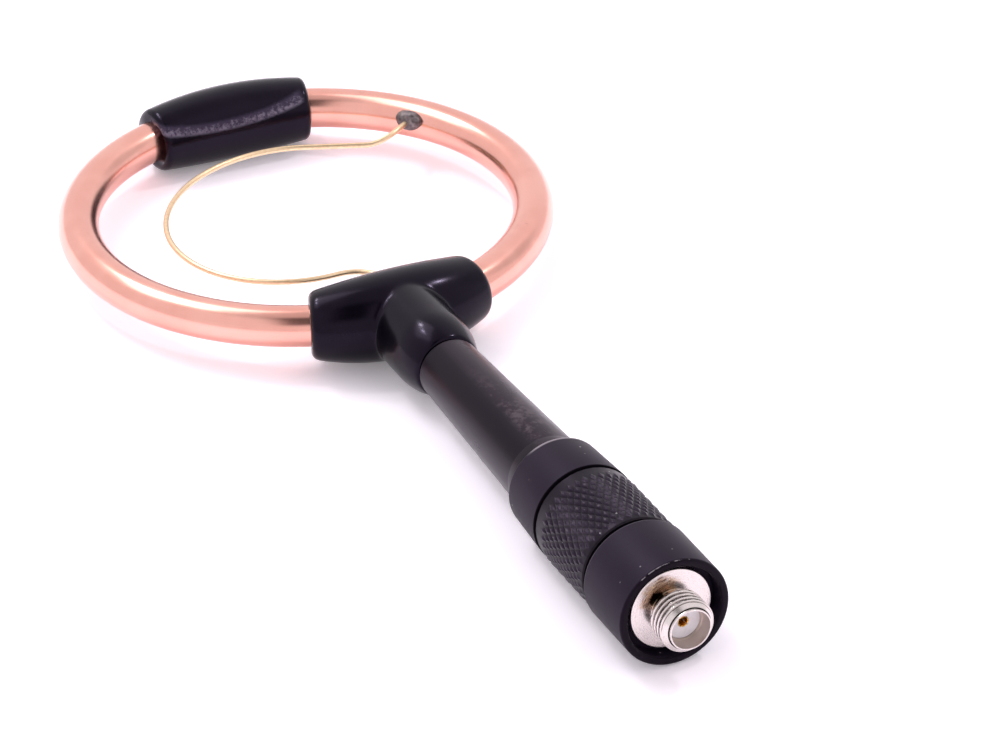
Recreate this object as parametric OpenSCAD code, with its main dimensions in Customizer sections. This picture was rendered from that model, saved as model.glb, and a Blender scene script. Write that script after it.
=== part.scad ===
// Hand-held loop antenna: a copper tube loop on a tapering stem, with a connector base that turns.
// The part lies flat. The origin is the centre of the hood's rim, on the jack's axis.
// +Y runs along the stem towards the loop, and +Z is up.

/* [Loop] */
// Diameter of the loop, at the middle of its tube
loop_d = 55.4; // [50:0.1:70]
// Outer diameter of the copper tube
tube_od = 5; // [4.6:0.1:5.4]
// Wall of the copper tube
tube_wall = 0.6; // [0.4:0.05:0.8]
// Gap between the tube's two ends, on the far side
gap_l = 7; // [6:0.1:9]

/* [Top sleeve] */
// Length of the sleeve over the gap
sleeve_l = 20.6; // [18:0.1:23]
// Diameter at its middle
sleeve_mid_d = 9.3; // [8.8:0.1:11]
// Diameter at its ends
sleeve_end_d = 7.8; // [7:0.1:8.4]
// How far its middle lies inside the middle of the tube
sleeve_inset = 1; // [0:0.05:1.2]
// Turn of the sleeve along the loop, from straight across
sleeve_turn = -1.5; // [-3:0.1:3]

/* [Tee] */
// Length of the tee's barrel
tee_l = 21; // [19:0.1:23]
// Diameter of the barrel at its middle
tee_mid_d = 10.8; // [9.8:0.1:11.4]
// Diameter of the barrel at its ends
tee_end_d = 8; // [7.2:0.1:8.6]
// How far the barrel's middle lies inside the middle of the tube
tee_inset = 0.2; // [0:0.05:1]
// Turn of the barrel along the loop, from straight across
tee_turn = -0.1; // [-3:0.1:3]
// Diameter of the branch that takes the stem
boss_d = 9.9; // [9.2:0.1:10.2]
// Distance from the stem's shoulder to the middle of the loop's tube
boss_l = 14.4; // [14:0.1:16]
// Length of the branch's rounded nose
nose_l = 4.8; // [4:0.1:5.4]
// Diameter of the nose's end
nose_end_d = 7.7; // [7.2:0.1:8.4]
// Depth of the socket that the stem plugs into
socket_l = 5.5; // [4.5:0.1:6]

/* [Wire] */
// Diameter of the wire
wire_d = 0.7; // [0.6:0.05:1]
// Long half axis of the wire's oval
wire_long = 17.3; // [16:0.1:18]
// Short half axis of the oval
wire_short = 15.4; // [14:0.1:16]
// Centre of the oval, to the right of the loop's centre
wire_dx = -1.2; // [-2:0.1:0]
// Centre of the oval, beyond the loop's centre
wire_dy = 0.6; // [-0.5:0.1:1.5]
// Lean of the wire where it leaves the tee, from straight ahead
feed_lean = 20; // [18:1:35]
// Place of the tap on the loop, from the right-hand side
tap_angle = 36; // [33:1:41]
// Radius of the solder lump at the tap
tap_r = 1.5; // [1.2:0.05:1.8]
// Height of the lump above the middle of the tube
tap_rise = 0.9; // [0:0.1:1.2]

/* [Stem] */
// Length of the stem that shows
stem_l = 28.7; // [24:0.1:34]
// Diameter at the tee
stem_top_d = 7.6; // [7.4:0.1:8]
// Diameter above the flare
stem_low_d = 9.5; // [8.8:0.1:9.7]
// Diameter of the flare on the collar
flare_d = 10.2; // [9.8:0.1:10.4]
// Length of the flare
flare_l = 2.2; // [1.5:0.1:3]
// Bore of the stem
stem_bore_d = 3.4; // [3.2:0.05:3.6]
// Diameter of the plug in the tee
plug_d = 5.4; // [5:0.1:5.8]

/* [Collar and grip] */
// Outer diameter of the collar at the grip
collar_d = 12.6; // [12.3:0.1:12.9]
// Outer diameter of the collar at the stem
collar_top_d = 11.7; // [11.4:0.1:12.2]
// Length of the collar
collar_l = 7.9; // [7:0.1:9]
// Rounding of the collar's upper edge
collar_round = 0.7; // [0.4:0.05:0.7]
// Thickness of the collar's web
collar_web = 2.5; // [2:0.1:3]
// Diameter of the collar's rear socket
collar_socket_d = 9.2; // [9:0.1:9.6]
// Open line between the collar and the grip
top_line = 0.45; // [0.4:0.05:0.8]
// Diameter over the knurl
grip_d = 12.8; // [12.5:0.1:13.2]
// Length of the grip
grip_l = 12.2; // [11:0.1:14]
// Bore of the grip, which the bush fills
grip_bore_d = 10.4; // [10:0.1:10.8]
// Diamonds round the grip
knurl_count = 40; // [32:2:48]
// Length of one diamond along the grip
knurl_pitch = 1.8; // [1.2:0.1:2.4]
// Depth of the knurl
knurl_depth = 0.25; // [0.15:0.01:0.35]
// Plain land at the hood's end of the knurl
low_land = 0.35; // [0.2:0.05:0.6]
// Plain land at the collar's end of the knurl
top_land = 1.05; // [0.2:0.05:1.4]
// Open line between the grip and the hood
low_line = 0.6; // [0.5:0.05:1]

/* [Hood] */
// Outer diameter of the hood
hood_d = 13.2; // [13:0.1:14]
// Length of the hood
hood_l = 9.5; // [9:0.1:11]
// Diameter of the cup round the jack
cup_d = 11.3; // [11:0.1:11.6]
// Rounding of the rim and of the rear edge
rim_round = 0.45; // [0.2:0.05:0.6]
// Thickness of the web that holds the jack
web_t = 2; // [1.6:0.1:2.4]

/* [Jack] */
// Diameter of the threaded barrel
thread_d = 6.35; // [6.35]
// How far the barrel stands out of the hood
tip_out = 3.9; // [3.4:0.1:4.4]
// Diameter of the barrel's tip
tip_d = 5.35; // [5.3:0.05:5.6]
// Length of the taper behind the tip
tip_taper = 0.9; // [0.5:0.05:1.2]
// Bore at the front
front_bore_d = 4.62; // [4.6:0.01:4.7]
// Depth of the front bore
front_bore_l = 1.9; // [1.8:0.05:2]
// Diameter of the flange
flange_d = 9.76; // [9.6:0.02:10]
// Depth of the flange's face behind the rim
flange_set = 1; // [0.8:0.05:1.2]
// Thickness of the flange
flange_t = 1.2; // [1:0.1:1.4]
// Diameter of the shoulder between flange and thread
hub_d = 7.6; // [7.2:0.1:8]
// Height of that shoulder
hub_h = 0.45; // [0.3:0.05:0.5]
// Diameter of the insulator
insulator_d = 4.1; // [4:0.02:4.2]
// Diameter of the centre socket
contact_d = 1.3; // [1.27:0.01:1.5]
// Bore of the centre socket
contact_bore_d = 0.94; // [0.92:0.01:0.98]
// Depth of the centre socket
contact_bore_l = 2.6; // [2:0.1:3]
// Width across the nut's flats
nut_flats = 8; // [7.8:0.05:8.2]
// Thickness of the nut
nut_t = 2; // [1.8:0.1:2.2]
// Thickness of the lock washer
lock_t = 0.5; // [0.4:0.05:0.6]
// Notches round the lock washer
lock_teeth = 10; // [8:1:12]
// Radius of each notch
lock_notch_r = 0.3; // [0.2:0.05:0.35]

/* [Swivel] */
// Diameter of the spindle
spindle_d = 6.5; // [6.2:0.1:6.8]
// Thickness of the spindle's head
spindle_head_t = 1.2; // [1:0.1:1.5]
// Length of the bush's bearing bore
bearing_l = 9.2; // [8.6:0.1:10]
// Radial thickness of the snap ring
snap_w = 1.3; // [1:0.05:1.4]
// Thickness of the snap ring
snap_t = 0.7; // [0.6:0.05:0.8]
// Depth of the snap ring's groove
snap_groove = 0.5; // [0.3:0.05:0.6]
// Spindle beyond the snap ring
spindle_end = 0.6; // [0.5:0.05:0.7]
// Outer diameter of the washer under the collar
washer_d = 11.4; // [10.8:0.1:11.8]

/* [Cable] */
// Diameter over the jacket
jacket_d = 2.8; // [2.6:0.05:2.9]
// Diameter over the braid
braid_d = 2.1; // [2:0.05:2.2]
// Diameter of the inner insulation
core_d = 1.5; // [1.4:0.05:1.6]
// Diameter of the centre conductor
centre_d = 0.5; // [0.4:0.02:0.6]
// Outer diameter of the crimp sleeve
ferrule_d = 4.4; // [4:0.1:4.8]
// Wall of the crimp sleeve
ferrule_wall = 0.45; // [0.3:0.05:0.5]
// Length of the crimp sleeve
ferrule_l = 3.4; // [3:0.1:3.8]

// Length of braid left bare below the tube
braid_bare = 1.5; // [1:0.1:2]

/* [Gap parts] */
// Diameter of the capacitor in the gap
cap_d = 2.6; // [2.2:0.1:3]
// Length of the capacitor
cap_l = 4.4; // [4:0.1:5]
// Diameter of its leads
lead_d = 0.5; // [0.4:0.05:0.7]
// How far each lead reaches into the tube
lead_in = 2.4; // [2.2:0.1:3]
// Length of the solder in each end of the tube
solder_l = 1.8; // [1.4:0.1:2]

/* [Fits] */
// Radial clearance of what turns
turn_gap = 0.05; // [0.02:0.01:0.1]
// Radial clearance of what is pressed or glued
seat_gap = 0.02; // [0.01:0.01:0.03]
// End play of what turns
end_play = 0.1; // [0.05:0.05:0.2]

/* [Hidden] */
$fn = 64;
loop_r = loop_d / 2;
tube_r = tube_od / 2;
tube_bore_r = tube_r - tube_wall;
wire_r = wire_d / 2;

// Stations along the stem, from the hood's rim
web_low = flange_set + flange_t;
web_top = web_low + web_t;
nut_low = web_top + lock_t;
nut_top = nut_low + nut_t;
hood_top = hood_l;
grip_low = hood_top + low_line;
grip_top = grip_low + grip_l;
collar_low = grip_top + top_line;
collar_top = collar_low + collar_l;
socket_floor = collar_low + collar_web;
spindle_top = socket_floor + spindle_head_t;
stem_top = collar_top + stem_l;
plug_top = stem_top + socket_l;
loop_near = stem_top + boss_l;
loop_y = loop_near + loop_r;
boss_end = stem_top + end_play;
bearing_low = grip_top - bearing_l;
snap_top = bearing_low - end_play;
snap_low = snap_top - snap_t;
spindle_low = snap_low - spindle_end;
ferrule_top = spindle_low - end_play;
ferrule_low = ferrule_top - ferrule_l;
bush_low = nut_top + end_play;

// The capacitor's line across the gap, its leads' reach and the solder's set-back from the tube's end
gap_y = loop_r * cos(asin(gap_l / loop_d));
lead_l = gap_l / 2 + lead_in;
solder_set = 0.2;

// How far a cut runs past the face it opens
over = 1;

// Chamfer on turned edges
edge_break = 0.15;

// Rounding, sides and steps of the two barrels
barrel_soft = 0.35;
barrel_sides = 40;
barrel_steps = 14;

// Radii that mating pieces share
bush_r = grip_bore_d / 2 - seat_gap;
bearing_r = spindle_d / 2 + turn_gap;
snap_r = spindle_d / 2 - snap_groove + snap_w;
cavity_r = snap_r + 6 * turn_gap;
cable_hole_r = jacket_d / 2 + turn_gap;
tube_hole_r = braid_d / 2 + seat_gap;
thread_hole_r = thread_d / 2 + turn_gap;

// Stations of the jack and of the cable's ends
tip_y = -tip_out;
insulator_face = tip_y + front_bore_l;
insulator_back = nut_top - nut_t / 2;
crimp_r = ferrule_d / 2 - ferrule_wall;
crimp_end = ferrule_low + ferrule_l / 2;
core_low = insulator_back + end_play;
jacket_top = loop_near - tube_r - braid_bare;
braid_top = loop_near - tube_r + tube_wall / 2;
core_top = loop_near - wire_d - seat_gap;
centre_top = loop_near - wire_r;

// The wire runs in the loop's plane: out of the feed, a turn, an oval, a straight tail and a hook,
// which rises to the tap
wire_steps = 34;
feed_start = [0, -loop_r];
feed_heading = 90 - feed_lean;
feed_run = (tee_mid_d / 2 + tee_inset) / cos(feed_lean) + seat_gap;
feed_exit = feed_start + feed_run * [cos(feed_heading), sin(feed_heading)];
oval_tilt = 45;
oval_low_t = 180 + atan(wire_short / wire_long);
oval_end_t = 20;
hook_r = 5;
hook_steps = 8;
function oval(t) = [wire_dx, wire_dy]
    + wire_long * cos(t) * [cos(oval_tilt), sin(oval_tilt)]
    + wire_short * sin(t) * [-sin(oval_tilt), cos(oval_tilt)];
function turn(start, radius, from, to, n) = [for (i = [1:n])
    let (h = from + (to - from) * i / n)
    start + radius * [sin(h) - sin(from), cos(from) - cos(h)]];
turn_r = (oval(oval_low_t).y - feed_exit.y) / (1 + cos(feed_heading));
tail_start = oval(oval_end_t);
tail_step = oval(oval_end_t - 0.5) - oval(oval_end_t + 0.5);
tail_heading = atan2(tail_step.y, tail_step.x);
tail_dir = [cos(tail_heading), sin(tail_heading)];
tap_dir = [cos(tap_angle), sin(tap_angle)];
hook_rise = hook_r * [sin(tap_angle) - sin(tail_heading), cos(tail_heading) - cos(tap_angle)];
// The tail ends where its hook points straight at the tap
across_tap = [-tap_dir.y, tap_dir.x];
tail_run = -((tail_start + hook_rise) * across_tap) / (tail_dir * across_tap);
hook_start = tail_start + tail_run * tail_dir;
wire_end = (loop_r - sqrt(tube_r * tube_r - pow(tap_rise - wire_r, 2)) - turn_gap) * tap_dir;
hook_path = turn(hook_start, hook_r, tail_heading, tap_angle, hook_steps);
wire_path = [
    each [for (p = [feed_start + wire_r * [cos(feed_heading), sin(feed_heading)], feed_exit]) [p.x, p.y, 0]],
    each [for (p = turn(feed_exit, turn_r, feed_heading, 180, 8)) [p.x, p.y, 0]],
    each [for (i = [0:wire_steps]) let (p = oval(oval_low_t + (oval_end_t - oval_low_t) * i / wire_steps))
        [p.x, p.y, 0]],
    [hook_start.x, hook_start.y, 0],
    each [for (i = [1:hook_steps]) let (p = hook_path[i - 1], s = i / hook_steps)
        [p.x, p.y, tap_rise * s * s * (3 - 2 * s)]],
    [wire_end.x, wire_end.y, tap_rise]];

black = [0.07, 0.065, 0.075];
charcoal = [0.13, 0.12, 0.14];
copper = [0.86, 0.53, 0.42];
gold = [0.83, 0.65, 0.27];
nickel = [0.78, 0.76, 0.72];
solder = [0.36, 0.36, 0.37];

// Turns a shape built along z to lie along the stem
module along_stem() rotate([-90, 0, 0]) children();

// A turned piece: a profile of [radius, station], spun round the stem's axis
module turned() along_stem() rotate_extrude() children();

// A plain ring between two stations
module ring(outer_r, inner_r, low, top) turned()
    translate([inner_r, low]) square([outer_r - inner_r, top - low]);

// A rod between two stations
module rod(r, low, top) along_stem() translate([0, 0, low]) cylinder(r = r, h = top - low);

// A flat band of a profile with both outer corners rounded
module soft_band(r, low, top, soft) {
    translate([0, low + soft]) square([r, top - low - 2 * soft]);
    translate([0, low]) square([r - soft, top - low]);
    translate([r - soft, low + soft]) circle(soft);
    translate([r - soft, top - soft]) circle(soft);
}

// Puts a shape at the loop's centre
module at_loop() translate([0, loop_y, 0]) children();

// The space that the copper tube fills
module tube_space(r) at_loop() rotate_extrude($fn = 128) translate([loop_r, 0]) circle(r);

// A barrel over the tube, swelling to its middle. Its axis bows outwards with the loop and meets
// the middle of the tube at both ends, and each end face is square to it.
module bent_barrel(length, mid_d, end_d, inset) {
    half = length / 2;
    bow = loop_r - sqrt(loop_r * loop_r - half * half) - inset;
    function section(u) =
        let (lean = atan(-2 * bow * u / half), soft = barrel_soft * (abs(u) == 1 ? 1 : 0),
            r = mid_d / 2 - (mid_d - end_d) / 2 * u * u - soft)
        [for (k = [0:barrel_sides - 1]) let (a = 360 * k / barrel_sides)
            [half * u - r * cos(a) * sin(lean), loop_r - inset - bow * u * u + r * cos(a) * cos(lean),
                r * sin(a)]];
    edge = 1 - barrel_soft / half;
    stations = concat([-1], [for (i = [0:barrel_steps]) edge * (2 * i / barrel_steps - 1)], [1]);
    last = len(stations) - 1;
    points = [for (u = stations) each section(u)];
    walls = [for (i = [0:last - 1], k = [0:barrel_sides - 1])
        let (a = i * barrel_sides + k, b = i * barrel_sides + (k + 1) % barrel_sides)
        each [[a, b + barrel_sides, b], [a, a + barrel_sides, b + barrel_sides]]];
    low_end = [for (k = [0:barrel_sides - 1]) k];
    high_end = [for (k = [barrel_sides - 1:-1:0]) last * barrel_sides + k];
    polyhedron(points, concat(walls, [low_end, high_end]), convexity = 4);
}

// A round tube swept along a path that lies nearly flat
module swept_wire(path, r, sides) {
    n = len(path);
    function heading(i) =
        let (d = path[min(i + 1, n - 1)] - path[max(i - 1, 0)]) [d.x, d.y] / norm([d.x, d.y]);
    points = [for (i = [0:n - 1], k = [0:sides - 1])
        let (d = heading(i), a = 360 * k / sides)
        path[i] + r * [-d.y * cos(a), d.x * cos(a), sin(a)]];
    walls = [for (i = [0:n - 2], k = [0:sides - 1])
        let (a = i * sides + k, b = i * sides + (k + 1) % sides)
        each [[a, b + sides, b], [a, a + sides, b + sides]]];
    low_end = [for (k = [0:sides - 1]) k];
    high_end = [for (k = [sides - 1:-1:0]) (n - 1) * sides + k];
    polyhedron(points, concat(walls, [low_end, high_end]), convexity = 6);
}

// The wire's way out of the feed, as a straight hole
module feed_hole(r) at_loop() translate([feed_start.x, feed_start.y, 0])
    rotate([0, 0, feed_heading]) rotate([0, 90, 0]) cylinder(r = r, h = feed_run + over);

module copper_ring() color(copper) {
    gap_angle = 2 * asin(gap_l / loop_d);
    difference() {
        at_loop() rotate([0, 0, 90 + gap_angle / 2]) rotate_extrude(angle = 360 - gap_angle, $fn = 128)
            translate([loop_r, 0]) difference() {
                circle(tube_r);
                circle(tube_bore_r);
            }
        rod(tube_hole_r, jacket_top, loop_near);
        feed_hole(wire_d);
    }
}

module top_sleeve() color(black) difference() {
    at_loop() rotate([0, 0, sleeve_turn]) bent_barrel(sleeve_l, sleeve_mid_d, sleeve_end_d, sleeve_inset);
    tube_space(tube_r + seat_gap);
}

// The capacitor lies in the gap, straight across it
module across_gap() at_loop() translate([0, gap_y, 0]) rotate([0, 90, 0]) children();

module gap_capacitor() color([0.72, 0.45, 0.2]) across_gap() rotate_extrude()
    translate([0, -cap_l / 2]) soft_band(cap_d / 2, 0, cap_l, cap_d / 6);

module capacitor_leads() color(nickel) for (side = [0, 1]) mirror([side, 0, 0]) across_gap()
    translate([0, 0, cap_l / 2]) cylinder(d = lead_d, h = lead_l - cap_l / 2);

module gap_solder() color(solder) for (side = [0, 1]) mirror([side, 0, 0]) difference() {
    intersection() {
        tube_space(tube_bore_r - seat_gap);
        at_loop() translate([gap_l / 2 + solder_set, 0, -tube_r]) cube([solder_l, loop_d, tube_od]);
    }
    across_gap() cylinder(d = lead_d + 2 * seat_gap, h = loop_r);
}

module tee_body() color(black) difference() {
    union() {
        at_loop() rotate([0, 0, 180 + tee_turn]) bent_barrel(tee_l, tee_mid_d, tee_end_d, tee_inset);
        turned() boss_profile();
    }
    tube_space(tube_r + seat_gap);
    rod(plug_d / 2 + seat_gap, boss_end - over, plug_top + end_play);
    rod(cable_hole_r, plug_top, loop_near);
    feed_hole(wire_r + turn_gap);
}

// The branch: a straight stretch and a nose rounded down to the neck
module boss_profile() {
    nose_drop = (boss_d - nose_end_d) / 2;
    nose_top = boss_end + nose_l;
    arc_r = (nose_l * nose_l + nose_drop * nose_drop) / (2 * nose_drop);
    translate([0, nose_top]) square([boss_d / 2, loop_near - nose_top]);
    intersection() {
        translate([boss_d / 2 - arc_r, nose_top]) circle(arc_r, $fn = 128);
        translate([0, boss_end]) square([boss_d / 2, nose_l]);
    }
}

module gamma_wire() color(gold) at_loop() swept_wire(wire_path, wire_r, 10);

// The lump at the tap sits on the tube's inner side and takes the wire's end
module tap_solder() color(solder) difference() {
    at_loop() rotate([0, 0, tap_angle]) translate([loop_r - tube_r, 0, tap_rise]) rotate([0, 90, 0])
        rotate_extrude() difference() {
            intersection() {
                circle(tap_r);
                translate([0, -tap_r]) square(2 * tap_r);
            }
            square([2 * (wire_r + seat_gap), 4 * tap_r], center = true);
        }
    tube_space(tube_r);
}

module feed_solder() color(solder) difference() {
    at_loop() translate([feed_start.x, feed_start.y, 0]) sphere(r = wire_d);
    rod(centre_d / 2 + seat_gap, core_top - over, loop_near);
    feed_hole(wire_r + seat_gap);
}

module ground_solder() color(solder) difference() {
    turned() translate([braid_d / 2 + seat_gap, braid_top - braid_bare])
        square([cable_hole_r - 2 * seat_gap - braid_d / 2, braid_bare]);
    tube_space(tube_r);
}

module stem_tube() color(black) turned() difference() {
    union() {
        translate([0, spindle_top]) square([collar_socket_d / 2 - seat_gap, collar_top - spindle_top]);
        polygon([[0, collar_top], [flare_d / 2, collar_top], [flare_d / 2, collar_top + edge_break],
            [stem_low_d / 2, collar_top + flare_l], [stem_top_d / 2, stem_top - 2 * edge_break],
            [stem_top_d / 2 - 2 * edge_break, stem_top], [0, stem_top]]);
        translate([0, stem_top]) square([plug_d / 2, plug_top - stem_top]);
    }
    translate([0, spindle_top - over]) square([stem_bore_d / 2, plug_top - spindle_top + 2 * over]);
}

module coax_jacket() color(charcoal)
    ring(jacket_d / 2, braid_d / 2 + seat_gap, crimp_end, jacket_top);

module coax_braid() color(copper)
    ring(braid_d / 2, core_d / 2 + seat_gap, crimp_end, braid_top);

module coax_dielectric() color("white")
    ring(core_d / 2, centre_d / 2 + seat_gap, core_low, core_top);

module coax_centre() color(copper) rod(centre_d / 2, core_low, centre_top);

module base_collar() color(charcoal) turned() difference() {
    polygon(concat([[0, collar_low], [collar_d / 2 - edge_break, collar_low],
        [collar_d / 2, collar_low + edge_break]],
        [for (a = [0:15:90]) [collar_top_d / 2 - collar_round * (1 - cos(a)),
            collar_top - collar_round * (1 - sin(a))]],
        [[0, collar_top]]));
    translate([0, collar_low - over]) square([spindle_d / 2 + seat_gap, collar_l]);
    translate([0, socket_floor]) square([collar_socket_d / 2, collar_l]);
}

module swivel_spindle() color(nickel) turned() difference() {
    union() {
        translate([0, spindle_low]) square([spindle_d / 2, socket_floor - spindle_low]);
        translate([0, socket_floor])
            square([collar_socket_d / 2 - seat_gap, spindle_top - socket_floor]);
    }
    translate([spindle_d / 2 - snap_groove, snap_low]) square([snap_w, snap_t]);
    translate([0, spindle_low - over]) square([stem_bore_d / 2, spindle_top]);
}

module retaining_ring() color(nickel) along_stem() translate([0, 0, snap_low]) rotate([0, 0, 20])
    rotate_extrude(angle = 320) translate([snap_r - snap_w + seat_gap, seat_gap])
        square([snap_w - seat_gap, snap_t - 2 * seat_gap]);

module bearing_washer() color(charcoal)
    ring(washer_d / 2, spindle_d / 2 + seat_gap, grip_top + end_play, collar_low);

module swivel_bush() color([0.62, 0.52, 0.3]) turned() difference() {
    translate([0, bush_low]) square([bush_r, grip_top - bush_low]);
    translate([0, bush_low - over]) square([bearing_r, grip_top]);
    translate([0, bush_low - over]) square([cavity_r, bearing_low - bush_low + over]);
}

// The grip is a sleeve whose outside is cut into pyramids, with roots and crests in turn
module knurled_grip() {
    columns = 2 * knurl_count;
    root_r = grip_d / 2 - knurl_depth;
    bore_r = grip_bore_d / 2;
    knurl_l = grip_l - low_land - top_land;
    rows = 2 * round(knurl_l / knurl_pitch) + 1;
    function height(j) = low_land + knurl_l * j / (rows - 1);
    function crest(i, j) = (i + j) % 2 == 0 && j > 0 && j < rows - 1;
    function circle_row(r, z) = [for (i = [0:columns - 1])
        [r * cos(360 * i / columns), r * sin(360 * i / columns), z]];
    skin = [for (j = [0:rows - 1], i = [0:columns - 1])
        let (r = crest(i, j) ? grip_d / 2 : root_r, a = 360 * i / columns)
        [r * cos(a), r * sin(a), height(j)]];
    points = concat(circle_row(bore_r, 0), circle_row(root_r, 0), skin,
        circle_row(root_r, grip_l), circle_row(bore_r, grip_l));
    ring_count = rows + 4;
    // Each cell is split along its root corners, so that crests stand as pyramids
    faces = [for (j = [0:ring_count - 1], i = [0:columns - 1])
        let (up = (j + 1) % ring_count, next = (i + 1) % columns,
            a = j * columns + i, b = j * columns + next, c = up * columns + next, d = up * columns + i)
        each (i + j) % 2 == 0 ? [[a, d, b], [b, d, c]] : [[a, c, b], [a, d, c]]];
    color(charcoal) along_stem() translate([0, 0, grip_low]) polyhedron(points, faces, convexity = 4);
}

module base_hood() color(charcoal) turned() difference() {
    soft_band(hood_d / 2, 0, hood_top, rim_round);
    translate([0, -over]) square([cup_d / 2, web_low + over]);
    translate([0, -over]) square([thread_hole_r, hood_l + 2 * over]);
    translate([0, web_top]) square([grip_bore_d / 2, hood_l]);
}

module sma_body() color(nickel) turned() difference() {
    polygon([[0, tip_y], [tip_d / 2, tip_y], [thread_d / 2, tip_y + tip_taper],
        [thread_d / 2, flange_set - hub_h], [hub_d / 2, flange_set], [flange_d / 2 - edge_break, flange_set],
        [flange_d / 2, flange_set + edge_break], [flange_d / 2, web_low], [thread_d / 2, web_low],
        [thread_d / 2, nut_top], [crimp_r, nut_top], [crimp_r, crimp_end - end_play], [0, crimp_end - end_play]]);
    translate([0, tip_y - over]) square([front_bore_d / 2, front_bore_l + over]);
    translate([0, insulator_face - over]) square([insulator_d / 2, insulator_back - insulator_face + over]);
    translate([0, insulator_back - over]) square([core_d / 2 + turn_gap, ferrule_top]);
}

module sma_dielectric() color("white")
    ring(insulator_d / 2 - seat_gap, contact_d / 2 + seat_gap, insulator_face, insulator_back);

module sma_contact() color(gold) turned() difference() {
    translate([0, insulator_face]) square([contact_d / 2, insulator_back - insulator_face]);
    translate([0, insulator_face - over]) square([contact_bore_d / 2, contact_bore_l + over]);
    translate([0, insulator_back - over]) square([centre_d / 2 + seat_gap, 2 * over]);
}

module lock_washer() color(nickel) along_stem() translate([0, 0, web_top]) difference() {
    cylinder(d = nut_flats, h = lock_t);
    translate([0, 0, -over]) cylinder(r = thread_hole_r, h = lock_t + 2 * over);
    for (i = [1:lock_teeth]) rotate([0, 0, 360 * i / lock_teeth]) translate([nut_flats / 2, 0, -over])
        cylinder(r = lock_notch_r, h = lock_t + 2 * over);
}

module sma_nut() color(nickel) along_stem() translate([0, 0, nut_low]) difference() {
    cylinder(d = nut_flats / cos(30), h = nut_t, $fn = 6);
    translate([0, 0, -over]) cylinder(r = thread_d / 2 + seat_gap, h = nut_t + 2 * over);
}

module crimp_ferrule() color(nickel)
    ring(ferrule_d / 2, crimp_r + seat_gap, ferrule_low, ferrule_top);

copper_ring();
top_sleeve();
gap_capacitor();
capacitor_leads();
gap_solder();
tee_body();
gamma_wire();
tap_solder();
feed_solder();
ground_solder();
stem_tube();
coax_jacket();
coax_braid();
coax_dielectric();
coax_centre();
base_collar();
swivel_spindle();
retaining_ring();
bearing_washer();
swivel_bush();
knurled_grip();
base_hood();
sma_body();
sma_dielectric();
sma_contact();
lock_washer();
sma_nut();
crimp_ferrule();
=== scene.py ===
"""Looks of a hand-held loop antenna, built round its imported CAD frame.

Lengths are written in millimetres and worked into metres by MM. The origin is the centre of the
hood's rim, +Y runs along the stem towards the loop, and +Z is up.
"""

import math

import bpy
from mathutils import Matrix, Quaternion, Vector


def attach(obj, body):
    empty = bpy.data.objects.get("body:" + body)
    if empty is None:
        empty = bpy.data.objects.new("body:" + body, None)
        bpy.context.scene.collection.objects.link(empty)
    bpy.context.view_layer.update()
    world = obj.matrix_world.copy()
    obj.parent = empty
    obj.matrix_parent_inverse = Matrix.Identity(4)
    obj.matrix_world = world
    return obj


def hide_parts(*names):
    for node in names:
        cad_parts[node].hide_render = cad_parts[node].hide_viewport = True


MM = 0.001

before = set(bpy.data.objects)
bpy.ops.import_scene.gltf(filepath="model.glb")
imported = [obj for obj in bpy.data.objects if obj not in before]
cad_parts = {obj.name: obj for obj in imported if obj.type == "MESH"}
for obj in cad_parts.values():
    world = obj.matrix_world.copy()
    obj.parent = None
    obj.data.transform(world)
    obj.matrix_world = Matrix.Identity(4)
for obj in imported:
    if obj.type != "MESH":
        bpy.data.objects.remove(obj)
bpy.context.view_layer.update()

# Sizes that the CAD source gives, in millimetres and degrees
LOOP_Y = 101.45
LOOP_R = 27.7
TUBE_R = 2.5
TUBE_WALL = 0.6
GAP = 7.0
SLEEVE = {"length": 20.6, "mid": 9.3, "end": 7.8, "inset": 1.0, "turn": -1.5}
TEE = {"length": 21.0, "mid": 10.8, "end": 8.0, "inset": 0.2, "turn": 179.9}
BOSS_R, BOSS_END, NOSE_L, NOSE_END_R = 4.95, 59.45, 4.8, 3.85
PLUG_R, PLUG_TOP = 2.7, 64.85
WIRE_R = 0.35
WIRE_LONG, WIRE_SHORT, WIRE_MID = 17.3, 15.4, Vector((-1.2, 0.6))
FEED_LEAN, OVAL_END, HOOK_R = 20, 20, 5
TAP_ANGLE, TAP_RISE, TAP_R = 36, 0.9, 1.5
STEM_TOP, STEM_TOP_R, STEM_LOW_R, STEM_BORE_R = 59.35, 3.8, 4.75, 1.7
FLARE_R, FLARE_TOP = 5.1, 32.85
COLLAR_LOW, COLLAR_TOP, COLLAR_LOW_R, COLLAR_TOP_R = 22.75, 30.65, 6.3, 5.85
SOCKET_R, SOCKET_FLOOR = 4.6, 25.25
SPINDLE_R, SPINDLE_TOP = 3.25, 26.45
GRIP_R, GRIP_LOW, GRIP_TOP, GRIP_BORE_R = 6.4, 10.1, 22.3, 5.2
KNURL_COUNT, KNURL_ROWS, LOW_LAND, TOP_LAND = 40, 6, 0.35, 1.05
HOOD_R, HOOD_L, CUP_R = 6.6, 9.5, 5.65
WEB_LOW, WEB_TOP, WEB_HOLE_R = 2.2, 4.2, 3.225
TIP_Y, TIP_R, TIP_TAPER, THREAD_R = -3.9, 2.675, 0.9, 3.175
FLANGE_R, FLANGE_LOW, NUT_TOP = 4.88, 1.0, 6.7
SPIGOT_R, SPIGOT_END, CABLE_BORE_R = 1.75, 9.8, 0.8
FRONT_BORE_R, INSULATOR_R, INSULATOR_LOW, INSULATOR_TOP = 2.31, 2.05, -2.0, 5.7
CONTACT_R, CONTACT_BORE_R, CONTACT_BORE_END = 0.65, 0.47, 0.6
CENTRE_BORE_R, CENTRE_BORE_END = 0.27, 4.7
SEAT = 0.02

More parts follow.
